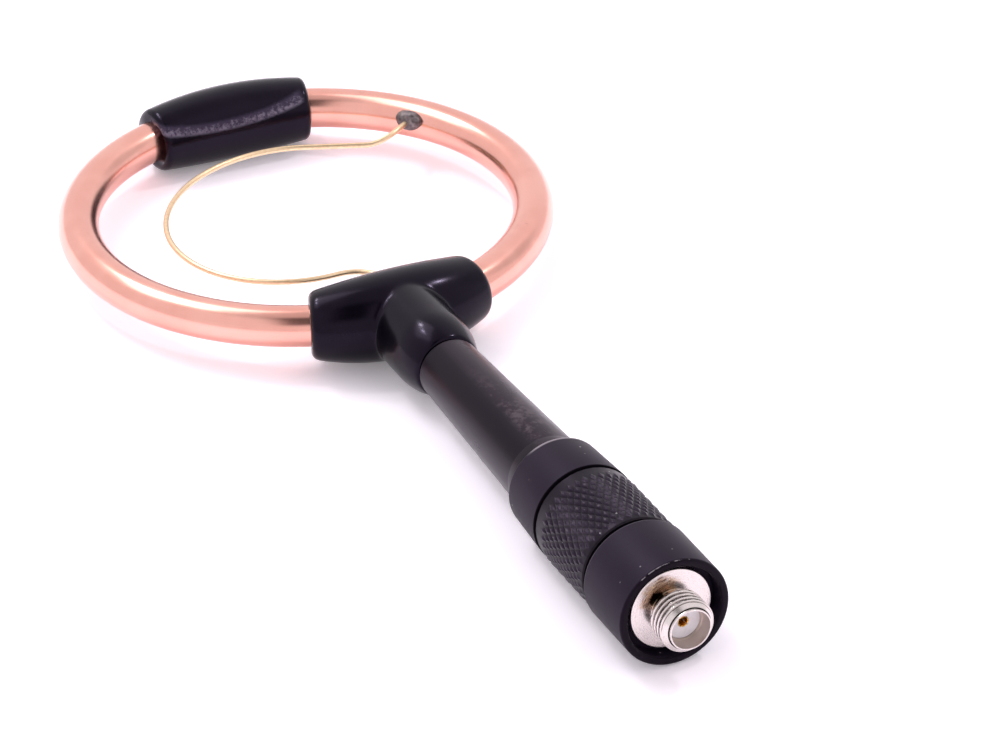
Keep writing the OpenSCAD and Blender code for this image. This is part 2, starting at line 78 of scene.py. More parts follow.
# Sizes of what this script shapes more finely than the CAD
BARREL_SOFT = 0.7
KNURL_DEPTH, KNURL_FLANK, CREST_STEP, CREST_INSET = 0.17, 0.24, 0.04, 0.08
TIP_RING_R, TIP_RING_L = TIP_R - 0.18, 0.3
CONE_R, CONE_LOW = TIP_R - 0.1, TIP_Y + 0.35
THREAD_PITCH, THREAD_DEPTH, THREAD_FOOT, THREAD_LEAST_R = 0.7056, 0.28, -0.4, 2.6
GROOVE_HALF, GROOVE_FLANK = 0.55, 0.45
NECK_R, NECK_TOP = 2.45, 0.82
SLIT_Y, SLIT_L, SLIT_W = -1.4, 1.6, 0.13
TEE_VOXEL, TEE_SMOOTHING = 0.13, 70
LUMP_SIZE, LUMP_HEIGHT = 1.1, 0.35

# How finely the loop and the jack are divided
LOOP_STEPS, TUBE_SIDES = 220, 56
CONE_STEPS, THREAD_STEPS, THREAD_STEP = 10, 53, 0.05

# How near an edge lies to the end that it is picked by, in metres
TOUCH = 1e-6


# Modelling by hand

def start_fresh():
    """Object mode with nothing selected."""
    if bpy.context.mode != "OBJECT":
        bpy.ops.object.mode_set(mode="OBJECT")
    bpy.ops.object.select_all(action="DESELECT")


def only(piece):
    """Selects one object and makes it active."""
    start_fresh()
    piece.select_set(True)
    bpy.context.view_layer.objects.active = piece


def pick(piece, kind, test):
    """Selects the vertices, edges or faces of a mesh that pass a test, and goes into edit mode."""
    only(piece)
    mesh = piece.data
    for part in (mesh.vertices, mesh.edges, mesh.polygons):
        part.foreach_set("select", [False] * len(part))
    chosen = {"VERT": mesh.vertices, "EDGE": mesh.edges, "FACE": mesh.polygons}[kind]
    chosen.foreach_set("select", [bool(test(item)) for item in chosen])
    bpy.context.tool_settings.mesh_select_mode = [kind == k for k in ("VERT", "EDGE", "FACE")]
    bpy.ops.object.mode_set(mode="EDIT")


def settle(piece, name, crease=35):
    """Merges doubles, turns the faces outwards and sets the smoothing of a finished mesh."""
    only(piece)
    piece.name = name
    piece.data.name = name
    bpy.ops.object.transform_apply(location=True, rotation=True, scale=True)
    bpy.ops.object.mode_set(mode="EDIT")
    bpy.ops.mesh.select_all(action="SELECT")
    bpy.ops.mesh.remove_doubles(threshold=1e-7)
    bpy.ops.mesh.normals_make_consistent(inside=False)
    bpy.ops.object.mode_set(mode="OBJECT")
    bpy.ops.object.shade_smooth_by_angle(angle=math.radians(crease))
    return piece


def apply_modifier(piece, kind, **settings):
    """Adds a modifier, sets it and applies it."""
    only(piece)
    bpy.ops.object.modifier_add(type=kind)
    modifier = piece.modifiers[-1]
    for key, value in settings.items():
        setattr(modifier, key, value)
    bpy.ops.object.modifier_apply(modifier=modifier.name)


def cut_with(piece, cutter, operation="DIFFERENCE"):
    """Cuts or joins a piece with another, which is used up."""
    apply_modifier(piece, "BOOLEAN", object=cutter, operation=operation, solver="EXACT")
    only(cutter)
    bpy.ops.object.delete()
    only(piece)


def soften(corners, steps=6):
    """A closed turned outline of (radius, station, rounding) corners, each rounding an arc."""
    line = []
    for i, (radius, station, soft) in enumerate(corners):
        here = Vector((radius, station))
        if soft == 0:
            line.append(here)
            continue
        back = (Vector(corners[i - 1][:2]) - here).normalized()
        ahead = (Vector(corners[(i + 1) % len(corners)][:2]) - here).normalized()
        half = back.angle(ahead) / 2
        middle = here + (back + ahead).normalized() * soft / math.sin(half)
        first = here + back * soft / math.tan(half) - middle
        last = here + ahead * soft / math.tan(half) - middle
        sweep = -first.angle_signed(last)
        for k in range(steps + 1):
            line.append(middle + Matrix.Rotation(sweep * k / steps, 2) @ first)
    return line


def turn_on_lathe(name, line, steps=160, closed=True, crease=35):
    """Draws an outline point by point and spins it round the stem's axis."""
    start_fresh()
    bpy.ops.mesh.primitive_plane_add(size=MM)
    piece = bpy.context.object
    bpy.ops.object.mode_set(mode="EDIT")
    bpy.ops.mesh.select_mode(type="VERT")
    bpy.ops.mesh.merge(type="CENTER")
    points = [Vector((p[0], p[1], 0)) * MM for p in line]
    if closed:
        points.append(points[0])
    bpy.ops.transform.translate(value=points[0])
    for a, b in zip(points, points[1:]):
        bpy.ops.mesh.extrude_vertices_move(TRANSFORM_OT_translate={"value": b - a})
    bpy.ops.mesh.select_all(action="SELECT")
    bpy.ops.mesh.spin(steps=steps, angle=math.tau, center=(0, 0, 0), axis=(0, 1, 0))
    return settle(piece, name, crease)


def sweep_rings(name, rings, sides, ends):
    """Extrudes a circle from ring to ring of (middle, heading, radius), then caps or joins its ends."""
    start_fresh()
    middle, heading, radius = rings[0]
    bpy.ops.mesh.primitive_circle_add(vertices=sides, radius=radius * MM, location=middle * MM,
                                      rotation=(0, math.pi / 2, heading))
    piece = bpy.context.object
    bpy.ops.object.transform_apply(location=True, rotation=True, scale=True)
    bpy.ops.object.mode_set(mode="EDIT")
    bpy.ops.mesh.select_mode(type="EDGE")
    bpy.ops.mesh.select_all(action="SELECT")
    if ends == "caps":
        bpy.ops.mesh.edge_face_add()
    for (a, turn_a, r_a), (b, turn_b, r_b) in zip(rings, rings[1:]):
        at = b * MM
        bpy.ops.mesh.extrude_region_move(TRANSFORM_OT_translate={"value": (b - a) * MM})
        if turn_a != turn_b:
            bpy.ops.transform.rotate(value=turn_a - turn_b, orient_axis="Z", center_override=at)
        if r_a != r_b:
            bpy.ops.transform.resize(value=[r_b / r_a] * 3, center_override=at)
    if ends == "joined":
        bpy.ops.mesh.select_all(action="DESELECT")
        bpy.ops.mesh.select_non_manifold()
        bpy.ops.mesh.bridge_edge_loops()
    return settle(piece, name)


# The copper loop, its sleeve and the tee

def make_copper_loop():
    """A round tube spun clockwise round the loop's middle, open over the gap on its far side."""
    start_fresh()
    gap_angle = 2 * math.asin(GAP / 2 / LOOP_R)
    first = math.pi / 2 - gap_angle / 2
    out = Vector((math.cos(first), math.sin(first), 0))
    middle = Vector((0, LOOP_Y, 0))
    bpy.ops.mesh.primitive_circle_add(vertices=TUBE_SIDES, radius=TUBE_R * MM,
                                      location=(middle + out * LOOP_R) * MM,
                                      rotation=(math.pi / 2, 0, first))
    piece = bpy.context.object
    bpy.ops.object.transform_apply(location=True, rotation=True, scale=True)
    bpy.ops.object.mode_set(mode="EDIT")
    bpy.ops.mesh.select_all(action="SELECT")
    bpy.ops.mesh.spin(steps=LOOP_STEPS, angle=math.tau - gap_angle, center=middle * MM, axis=(0, 0, 1))
    settle(piece, "copper_loop")
    apply_modifier(piece, "SOLIDIFY", thickness=TUBE_WALL * MM, offset=-1, use_even_offset=True)
    return settle(piece, "copper_loop")


def barrel_ring(shape, u, lessen=0.0):
    """Ring of a bent barrel at u, from -1 at one end to 1 at the other."""
    half = shape["length"] / 2
    bow = LOOP_R - math.sqrt(LOOP_R ** 2 - half ** 2) - shape["inset"]
    radius = shape["mid"] / 2 - (shape["mid"] - shape["end"]) / 2 * u * u - lessen
    turn = math.radians(shape["turn"])
    here = Vector((half * u, LOOP_R - shape["inset"] - bow * u * u, 0))
    here.rotate(Quaternion((0, 0, 1), turn))
    return here + Vector((0, LOOP_Y, 0)), math.atan2(-2 * bow * u, half) + turn, radius


def barrel_rings(shape, steps=26):
    """Outer rings of a bent barrel, with both ends rounded over."""
    half = shape["length"] / 2
    edge = 1 - BARREL_SOFT / half
    turns = [math.radians(a) for a in (0, 20, 40, 60, 80)]
    round_over = [(1 - BARREL_SOFT / half * (1 - math.cos(a)), BARREL_SOFT * (1 - math.sin(a)))
                  for a in turns]
    body = [edge * (2 * i / steps - 1) for i in range(steps + 1)]
    return ([barrel_ring(shape, -u, less) for u, less in round_over]
            + [barrel_ring(shape, u) for u in body]
            + [barrel_ring(shape, u, less) for u, less in reversed(round_over)])


def make_sleeve():
    """The sleeve's outside, then its bore along the tube, as one closed shell."""
    outside = barrel_rings(SLEEVE)
    reach = math.asin(SLEEVE["length"] / 2 / LOOP_R) * 0.995
    turn = math.radians(SLEEVE["turn"])
    stations = 24
    bore = []
    for i in range(stations + 1):
        a = math.pi / 2 + turn - reach + 2 * reach * i / stations
        at = Vector((LOOP_R * math.cos(a), LOOP_Y + LOOP_R * math.sin(a), 0))
        bore.append((at, a - math.pi / 2, TUBE_R + SEAT))
    return sweep_rings("far_sleeve", outside + bore, 72, "joined")


def closed_tube(name, radius):
    """A solid ring along the loop, for cutting the tube's bed."""
    start_fresh()
    bpy.ops.mesh.primitive_torus_add(location=(0, LOOP_Y * MM, 0), major_radius=LOOP_R * MM,
                                     minor_radius=radius * MM, major_segments=LOOP_STEPS,
                                     minor_segments=TUBE_SIDES)
    return settle(bpy.context.object, name)


def make_tee():
    """Barrel and branch joined, remeshed and smoothed so that they run into each other."""
    barrel = sweep_rings("near_tee", barrel_rings(TEE), 96, "caps")
    drop = BOSS_R - NOSE_END_R
    arc_r = (NOSE_L ** 2 + drop ** 2) / (2 * drop)
    nose_top = BOSS_END + NOSE_L
    nose_steps = 16
    nose = []
    for k in range(nose_steps, -1, -1):
        a = math.asin(NOSE_L / arc_r) * k / nose_steps
        nose.append((BOSS_R - arc_r * (1 - math.cos(a)), nose_top - arc_r * math.sin(a)))
    loop_near = LOOP_Y - LOOP_R
    outline = [(0, BOSS_END)] + nose + [(BOSS_R, loop_near), (0, loop_near)]
    cut_with(barrel, turn_on_lathe("branch", outline, 96, closed=False), "UNION")
    apply_modifier(barrel, "REMESH", mode="VOXEL", voxel_size=TEE_VOXEL * MM)
    apply_modifier(barrel, "SMOOTH", factor=0.5, iterations=TEE_SMOOTHING)
    cut_with(barrel, closed_tube("tube_cutter", TUBE_R + SEAT))
    bore_r, low, top = PLUG_R + SEAT, BOSS_END - 1, PLUG_TOP + 0.1
    bore = [(0, low), (bore_r, low), (bore_r, top), (0, top)]
    cut_with(barrel, turn_on_lathe("plug_cutter", bore, 48, closed=False))
    return settle(barrel, "near_tee", 40)


# The wire and its joint

def arc_points(start, radius, heading, end_heading, steps):
    """Points along a left or right turn, from one heading to another, in degrees."""
    points = []
    for i in range(1, steps + 1):
        h = math.radians(heading + (end_heading - heading) * i / steps)
        h0 = math.radians(heading)
        points.append(start + radius * Vector((math.sin(h) - math.sin(h0), math.cos(h0) - math.cos(h))))
    return points


def pointing(angle):
    """Unit vector in the loop's plane, at an angle from +X in degrees."""
    return Vector((math.cos(math.radians(angle)), math.sin(math.radians(angle))))


def oval(t):
    """Point of the wire's oval, which leans at 45 degrees, in the loop's plane."""
    a = math.radians(t)
    along, across = Vector((1, 1)).normalized(), Vector((-1, 1)).normalized()
    return WIRE_MID + WIRE_LONG * math.cos(a) * along + WIRE_SHORT * math.sin(a) * across


def wire_route():
    """Out of the feed, a turn, the oval, a straight tail and a hook that rises to the tap."""
    turn_steps, oval_steps, hook_steps = 14, 90, 16
    feed = Vector((0, -LOOP_R))
    heading = 90 - FEED_LEAN
    lead = pointing(heading)
    leave = feed + lead * ((TEE["mid"] / 2 + TEE["inset"]) / math.cos(math.radians(FEED_LEAN)) + SEAT)
    low = 180 + math.degrees(math.atan(WIRE_SHORT / WIRE_LONG))
    turn_r = (oval(low).y - leave.y) / (1 + math.cos(math.radians(heading)))
    step = oval(OVAL_END - 0.5) - oval(OVAL_END + 0.5)
    tail = math.degrees(math.atan2(step.y, step.x))
    tail_dir, tap_dir = step.normalized(), pointing(TAP_ANGLE)
    rise = arc_points(Vector((0, 0)), HOOK_R, tail, TAP_ANGLE, 1)[-1]
    across = Vector((-tap_dir.y, tap_dir.x))
    last = oval(OVAL_END)
    hook = last + tail_dir * (-(last + rise).dot(across) / tail_dir.dot(across))
    stop = tap_dir * (LOOP_R - math.sqrt(TUBE_R ** 2 - (TAP_RISE - WIRE_R) ** 2) - 0.05)
    flat = [feed + lead * WIRE_R, leave] + arc_points(leave, turn_r, heading, 180, turn_steps)
    flat += [oval(low + (OVAL_END - low) * i / oval_steps) for i in range(oval_steps + 1)] + [hook]
    bend = arc_points(hook, HOOK_R, tail, TAP_ANGLE, hook_steps)
    route = [Vector((p.x, p.y, 0)) for p in flat]
    for i, p in enumerate(bend):
        share = (i + 1) / len(bend)
        route.append(Vector((p.x, p.y, TAP_RISE * share * share * (3 - 2 * share))))
    route.append(Vector((stop.x, stop.y, TAP_RISE)))
    return [p + Vector((0, LOOP_Y, 0)) for p in route]


def make_wire():
    """A round wire along its route, with headings that never jump by a whole turn."""
    route = wire_route()
    rings = []
    turn = None
    for i, p in enumerate(route):
        d = route[min(i + 1, len(route) - 1)] - route[max(i - 1, 0)]
        heading = math.atan2(d.y, d.x)
        if turn is not None:
            heading += math.tau * round((turn - heading) / math.tau)
        turn = heading
        rings.append((p, heading, WIRE_R))
    return sweep_rings("tap_wire", rings, 16, "caps")


def make_tap_joint():
    """A lump of solder, drawn out along the tube and wrapped a little way round it."""
    start_fresh()
    bpy.ops.mesh.primitive_uv_sphere_add(segments=40, ring_count=24, radius=TAP_R * MM)
    piece = bpy.context.object
    bpy.ops.object.mode_set(mode="EDIT")
    bpy.ops.transform.resize(value=(0.8, 1.2, 0.85))
    bpy.ops.object.mode_set(mode="OBJECT")
    lumps = bpy.data.textures.new("solder_lumps", "CLOUDS")
    lumps.noise_scale = LUMP_SIZE * MM
    apply_modifier(piece, "DISPLACE", texture=lumps, strength=LUMP_HEIGHT * MM, mid_level=0.55)
    only(piece)
    bpy.ops.object.mode_set(mode="EDIT")
    bpy.ops.mesh.select_all(action="SELECT")
    bpy.ops.transform.rotate(value=-math.radians(TAP_ANGLE), orient_axis="Z", center_override=(0, 0, 0))
    spot = pointing(TAP_ANGLE) * (LOOP_R - TUBE_R + 0.1)
    bpy.ops.transform.translate(value=Vector((spot.x, LOOP_Y + spot.y, TAP_RISE)) * MM)
    cut_with(piece, closed_tube("tube_cutter", TUBE_R))
    return settle(piece, "tap_joint", 60)


# Stem, collar, hood and grip

def make_stem():
    """The tapering tube, with its flared foot and the plug that goes into the tee."""
    foot_r = SOCKET_R - SEAT
    return turn_on_lathe("stem", soften([
        (STEM_BORE_R, SPINDLE_TOP, 0), (foot_r, SPINDLE_TOP, 0), (foot_r, COLLAR_TOP, 0),
        (FLARE_R, COLLAR_TOP, 0.1), (STEM_LOW_R, FLARE_TOP, 0.8), (STEM_TOP_R, STEM_TOP, 0.35),
        (PLUG_R, STEM_TOP, 0), (PLUG_R, PLUG_TOP, 0), (STEM_BORE_R, PLUG_TOP, 0)], 8))


def make_collar():
    """The collar, with the socket for the stem's foot and the spindle's hole."""
    hole_r = SPINDLE_R + SEAT
    return turn_on_lathe("collar", soften([
        (hole_r, COLLAR_LOW, 0), (COLLAR_LOW_R, COLLAR_LOW, 0.15), (COLLAR_TOP_R, COLLAR_TOP, 0.65),
        (SOCKET_R, COLLAR_TOP, 0.1), (SOCKET_R, SOCKET_FLOOR, 0), (hole_r, SOCKET_FLOOR, 0)], 8))


def make_hood():
    """The hood, with its cup and the web that carries the jack."""
    return turn_on_lathe("hood", soften([
        (CUP_R, 0, 0.3), (HOOD_R, 0, 0.34), (HOOD_R, HOOD_L, 0.45), (GRIP_BORE_R, HOOD_L, 0.1),
        (GRIP_BORE_R, WEB_TOP, 0), (WEB_HOLE_R, WEB_TOP, 0), (WEB_HOLE_R, WEB_LOW, 0),
        (CUP_R, WEB_LOW, 0)], 8))


def make_grip():
    """A band of diamonds, each inset and raised, with plain lands, end faces and a bore."""
    start_fresh()
    root_r = GRIP_R - KNURL_DEPTH
    low, top = GRIP_LOW + LOW_LAND, GRIP_TOP - TOP_LAND
    bpy.ops.mesh.primitive_cylinder_add(vertices=KNURL_COUNT, radius=root_r * MM, depth=(top - low) * MM,
                                        end_fill_type="NOTHING", location=(0, (low + top) / 2 * MM, 0),
                                        rotation=(math.pi / 2, 0, 0))
    piece = bpy.context.object
    bpy.ops.object.transform_apply(location=True, rotation=True, scale=True)
    spots = piece.data.vertices
    pick(piece, "EDGE", lambda e: abs(spots[e.vertices[0]].co.y - spots[e.vertices[1]].co.y) > MM)
    bpy.ops.mesh.subdivide(number_cuts=KNURL_ROWS - 1)
    bpy.ops.mesh.select_all(action="SELECT")
    bpy.ops.object.mode_set(mode="OBJECT")
    corners = len(piece.data.vertices)
    bpy.ops.object.mode_set(mode="EDIT")
    bpy.ops.mesh.poke(offset=root_r * (1 - math.cos(math.pi / KNURL_COUNT)) * MM)
    bpy.ops.object.mode_set(mode="OBJECT")
    ends = (low * MM + TOUCH, top * MM - TOUCH)
    spots = piece.data.vertices

    def inner(e):
        a, b = (spots[i].co.y for i in e.vertices)
        on_end = max(a, b) < ends[0] or min(a, b) > ends[1]
        return max(e.vertices) < corners and not on_end

    pick(piece, "EDGE", inner)
    bpy.ops.mesh.dissolve_edges(use_verts=False)
    bpy.ops.object.mode_set(mode="OBJECT")
    pick(piece, "FACE", lambda f: len(f.vertices) == 4)
    bpy.ops.mesh.inset(thickness=KNURL_FLANK * MM, depth=(KNURL_DEPTH - CREST_STEP) * MM,
                       use_individual=True)
    bpy.ops.mesh.inset(thickness=CREST_INSET * MM, depth=CREST_STEP * MM, use_individual=True)
    for end, land in ((low, -LOW_LAND), (top, TOP_LAND)):
        bpy.ops.object.mode_set(mode="OBJECT")
        spots = piece.data.vertices
        pick(piece, "EDGE", lambda e: all(abs(spots[i].co.y - end * MM) < TOUCH for i in e.vertices))
        bpy.ops.mesh.extrude_region_move(TRANSFORM_OT_translate={"value": (0, land * MM, 0)})
        bpy.ops.mesh.extrude_region_move()
        share = GRIP_BORE_R / root_r
        bpy.ops.transform.resize(value=(share, 1, share), center_override=(0, (end + land) * MM, 0))
    bpy.ops.mesh.select_all(action="DESELECT")
    bpy.ops.mesh.select_non_manifold()
    bpy.ops.mesh.bridge_edge_loops()
    return settle(piece, "grip", 40)


# The jack

def make_jack():
    """The nickel body, turned, with its thread pressed into the barrel."""
    tip = [(TIP_RING_R, TIP_Y, 0.05), (TIP_RING_R, TIP_Y + TIP_RING_L, 0)]
    cone_l = TIP_Y + TIP_TAPER - CONE_LOW
    shares = [i / CONE_STEPS for i in range(CONE_STEPS)]
    cone = [(CONE_R + (THREAD_R - CONE_R) * share, CONE_LOW + cone_l * share, 0) for share in shares]
    barrel = [(THREAD_R, TIP_Y + TIP_TAPER + THREAD_STEP * i, 0) for i in range(THREAD_STEPS)]
    outline = soften(tip + cone + barrel + [
        (NECK_R, 0, 0.1), (NECK_R, NECK_TOP, 0.14), (FLANGE_R, FLANGE_LOW, 0.12), (FLANGE_R, WEB_LOW, 0),
        (THREAD_R, WEB_LOW, 0), (THREAD_R, NUT_TOP, 0), (SPIGOT_R, NUT_TOP, 0), (SPIGOT_R, SPIGOT_END, 0),
        (CABLE_BORE_R, SPIGOT_END, 0), (CABLE_BORE_R, INSULATOR_TOP, 0), (INSULATOR_R, INSULATOR_TOP, 0),
        (INSULATOR_R, INSULATOR_LOW, 0), (FRONT_BORE_R, INSULATOR_LOW, 0),
        (FRONT_BORE_R, TIP_Y, 0.05)], 5)
    piece = turn_on_lathe("jack_body", outline, 144)
    for v in piece.data.vertices:
        radius = math.hypot(v.co.x, v.co.z) / MM
        y = v.co.y / MM
        threaded = CONE_LOW + 0.01 < y < THREAD_FOOT + 0.01
        if not (threaded and THREAD_LEAST_R < radius < THREAD_R + 0.01):
            continue
        phase = (y / THREAD_PITCH - math.atan2(v.co.z, v.co.x) / math.tau) % 1
        groove = min(1, max(0, (GROOVE_HALF - abs(2 * phase - 1)) / GROOVE_FLANK))
        share = min(radius, THREAD_R - THREAD_DEPTH * groove) / radius
        v.co.x, v.co.z = v.co.x * share, v.co.z * share
    piece.data.update()
    return settle(piece, "jack_body", 30)


def make_insulator():
    """The white insulator, bored for the contact."""
    hole_r, outer_r = CONTACT_R + SEAT, INSULATOR_R - SEAT
    return turn_on_lathe("jack_insulator", soften([
        (hole_r, INSULATOR_LOW, 0.06), (outer_r, INSULATOR_LOW, 0.1), (outer_r, INSULATOR_TOP, 0),
        (hole_r, INSULATOR_TOP, 0)]), 96)


def make_contact():
    """The gold socket: a bored pin, slit crosswise so that it grips."""
    piece = turn_on_lathe("jack_contact", [
        (0, CONTACT_BORE_END), (CONTACT_BORE_R, CONTACT_BORE_END), (CONTACT_BORE_R, INSULATOR_LOW + 0.15),
        (CONTACT_BORE_R + 0.06, INSULATOR_LOW + 0.03), (CONTACT_R - 0.05, INSULATOR_LOW),
        (CONTACT_R, INSULATOR_LOW + 0.05), (CONTACT_R, INSULATOR_TOP), (CENTRE_BORE_R, INSULATOR_TOP),
        (CENTRE_BORE_R, CENTRE_BORE_END), (0, CENTRE_BORE_END)], 64, closed=False)
    for turn in (math.radians(40), math.radians(130)):
        start_fresh()
        bpy.ops.mesh.primitive_cube_add(size=MM, location=(0, SLIT_Y * MM, 0), rotation=(0, turn, 0),
                                        scale=(SLIT_L, SLIT_L, SLIT_W))
        slit = bpy.context.object
        bpy.ops.object.transform_apply(location=True, rotation=True, scale=True)
        cut_with(piece, slit)
    return settle(piece, "jack_contact", 30)


# Shader nodes written as expressions

class Sock:
    """A shader socket. Arithmetic on it adds Math nodes, and node() adds any other node."""

    def __init__(self, tree, out=None):
        self.tree = tree
        self.out = out

    def node(self, kind, settings=None, sockets=None, output=0):
        """Adds a node: its settings first, then the values or links of its sockets."""
        made = self.tree.nodes.new(kind)
        for key, value in (settings or {}).items():
            setattr(made, key, value)
        for key, value in (sockets or {}).items():
            found = [s for s in made.inputs if s.identifier == key] or [made.inputs[key]]
            if isinstance(value, Sock):
                self.tree.links.new(value.out, found[0])
            else:
                found[0].default_value = value
        outs = [s for s in made.outputs if s.identifier == output] or [made.outputs[output]]
        return Sock(self.tree, outs[0])

    def math(self, operation, *others):
        values = dict(zip(("Value", "Value_001", "Value_002"), (self, *others)))
        return self.node("ShaderNodeMath", {"operation": operation}, values)

    def flip(self, operation, other):
        return self.node("ShaderNodeMath", {"operation": operation}, {"Value": other, "Value_001": self})

    def __add__(self, other):
        return self.math("ADD", other)

    __radd__ = __add__

    def __sub__(self, other):
        return self.math("SUBTRACT", other)

    def __rsub__(self, other):
        return self.flip("SUBTRACT", other)

    def __mul__(self, other):
        return self.math("MULTIPLY", other)

    __rmul__ = __mul__

    def __truediv__(self, other):
        return self.math("DIVIDE", other)

    def __rtruediv__(self, other):
        return self.flip("DIVIDE", other)

    def between(self, low, high):
        """0 below low, 1 above high and smooth between, or the other way round."""
        if low > high:
            return 1 - self.between(high, low)
        return self.node("ShaderNodeMapRange", {"interpolation_type": "SMOOTHSTEP"},
                         {"Value": self, "From Min": low, "From Max": high})

    def mix(self, low, high):
        """A colour between two, by this value."""
        ends = {"Factor_Float": self, "A_Color": colour(low), "B_Color": colour(high)}
        return self.node("ShaderNodeMix", {"data_type": "RGBA"}, ends, "Result_Color")


def colour(value):
    """A colour with its alpha, or a socket as it is."""
    return value if isinstance(value, Sock) else (*value, 1)


class Surface:
    """A material in the making: the surface's own coordinates, patterns on them, and its shader."""

    def __init__(self, name):
        self.material = bpy.data.materials.new(name)
        self.material.use_nodes = True
        self.tree = self.material.node_tree
        self.shader = self.tree.nodes["Principled BSDF"]
        self.place = Sock(self.tree).node("ShaderNodeTexCoord", output="Object")
        split = {"Vector": self.place}
        parts = [self.place.node("ShaderNodeSeparateXYZ", None, split, axis) for axis in "XYZ"]
        self.x, self.y, self.z = (p / MM for p in parts)

    def noise(self, grain, detail=3.0, rough=0.55, where=None, stretch=(1, 1, 1)):
        """Noise with lumps of about grain millimetres, from 0 to 1."""
        vector = where or self.place
        if stretch != (1, 1, 1):
            vector = vector.node("ShaderNodeMapping", None, {"Vector": vector, "Scale": stretch})
        scale = 1 / grain if where else 1 / (grain * MM)
        sockets = {"Vector": vector, "Scale": scale, "Detail": detail, "Roughness": rough}
        return vector.node("ShaderNodeTexNoise", None, sockets)

    def specks(self, grain, size):
        """Sparse dots, 1 inside each dot."""
        sockets = {"Vector": self.place, "Scale": 1 / (grain * MM)}
        near = self.place.node("ShaderNodeTexVoronoi", None, sockets)
        return near.between(size, size * 0.5)

    def radius(self):
        """Distance from the stem's axis, in millimetres."""
        return (self.x * self.x + self.z * self.z).math("SQRT")

    def vector(self, x, y, z):
        """A vector of values, for a pattern that follows its own directions."""
        return self.place.node("ShaderNodeCombineXYZ", None, {"X": x, "Y": y, "Z": z})

    def finish(self, bump=None, strength=0.3, distance=0.02, **sockets):
        """Links or sets the shader's sockets, with a bump of that height in millimetres."""
        for key, value in sockets.items():
            socket = self.shader.inputs[key.replace("_", " ")]
            if isinstance(value, Sock):
                self.tree.links.new(value.out, socket)
            else:
                socket.default_value = value
        if bump is not None:
            height = {"Height": bump, "Strength": strength, "Distance": distance * MM}
            made = bump.node("ShaderNodeBump", None, height)
            self.tree.links.new(made.out, self.shader.inputs["Normal"])
        return self.material


# Finishes

def bare_copper():
    """Drawn copper: soft blotches, fine lines along the tube and a few darker marks."""
    s = Surface("bare_copper")
    away = s.y - LOOP_Y
    ring = (s.x * s.x + away * away).math("SQRT")
    round_tube = s.z.math("ARCTAN2", ring - LOOP_R)
    round_loop = away.math("ARCTAN2", s.x)
    drawn = s.noise(0.05, 2, 0.6, s.vector(round_tube * 0.5, round_loop * 0.25, 0))
    blotch = s.noise(7, 3)
    marks = s.noise(1.6, 4, 0.65).between(0.66, 0.78)
    tone = blotch.between(0.35, 0.7).mix((0.82, 0.405, 0.33), (0.865, 0.455, 0.375))
    tone = (marks * 0.35).mix(tone, (0.55, 0.24, 0.17))
    rough = 0.15 + blotch * 0.08 + drawn * 0.05 + marks * 0.08
    return s.finish(drawn, 0.05, 0.01, Base_Color=tone, Metallic=1.0, Roughness=rough)


# Tints of the blacks' reflections, and the middle, height and bow of the sleeve's painted highlight band
BLACK_TINT = (0.86, 0.6, 0.98, 1)
GLOSS_TINT = (0.78, 0.63, 1.0, 1)
BAND_X, BAND_Z, BAND_BOW = -1.2, 1.86, 0.0108


def gloss_black(name, grain_strength, shine, painted_sheen=False):
    """Moulded black with a gloss, a faint grain, hazy patches and, on the sleeve, a pale painted
    highlight band.
    """
    s = Surface(name)
    haze = s.noise(4, 3)
    grain = s.noise(0.4, 3)
    tone = haze.between(0.4, 0.75).mix((0.0022, 0.0014, 0.0034), (0.0046, 0.0028, 0.0062))
    rough = 0.12 + haze * 0.08 + grain * 0.05
    if painted_sheen:
        # Painted highlight: a pale mottled band along the sleeve's near side, standing for a lamp's
        # streak.
        off = s.x - BAND_X
        rise = s.z - BAND_Z - BAND_BOW * off * off
        fine = s.noise(0.5, 4, 0.7)
        band = (rise.math("ABSOLUTE") + fine * 0.4).between(0.98, 0.5)
        band = band * s.y.between(128, 127) * s.x.between(9.9, 8.8)
        pale = (fine - rise * 0.22).between(0.4, 0.72).mix((0.036, 0.028, 0.05), (0.19, 0.165, 0.22))
        tone = band.mix(tone, pale)
        rough = rough + band * 0.15
    return s.finish(grain, grain_strength, 0.03, Base_Color=tone, Roughness=rough,
                    Specular_IOR_Level=shine, Specular_Tint=GLOSS_TINT)


def satin_stem():
    """Satin black tube, with a painted sheen over its top and right side, a painted reflection down its
    left side, and paler scuffs near its foot.
    """
    s = Surface("satin_stem")
    cloud = s.noise(3.2, 4, 0.6, stretch=(1, 0.55, 1))
    grain = s.noise(0.25, 2)
    # Angle from the top round to +X, in radians
    lean = s.x.math("ARCTAN2", s.z)
    # Painted sheen: the top and right side made lighter, standing for a reflection.
    painted_sheen = lean.between(-0.45, -0.15)
    patch = cloud * 0.6 + s.noise(0.9, 4, 0.7) * 0.4
    scuff = patch.between(0.46, 0.57) * s.y.between(54, 40) * painted_sheen * lean.between(0.75, 0.3)
    tone = painted_sheen.mix((0.0022, 0.001, 0.003), (0.0185, 0.011, 0.0178))
    # Painted reflection: the left side made lighter, standing for the table's reflection.
    tone = lean.between(-0.9, -1.7).mix(tone, (0.03, 0.024, 0.034))
    tone = scuff.mix(tone, (0.072, 0.056, 0.064))
    rough = 0.24 + cloud * 0.1 + scuff * 0.14
    return s.finish(grain, 0.06, 0.02, Base_Color=tone, Roughness=rough, Specular_IOR_Level=0.13,
                    Specular_Tint=BLACK_TINT)


# Where the hood's rim is worn and the collar's painted highlight lies, and where the jack's stain lies,
# in radians from +X round to +Z
WEAR_AND_HIGHLIGHT_TURN = 1.8
STAIN_TURN, STAIN_R = 2.1, 2.8


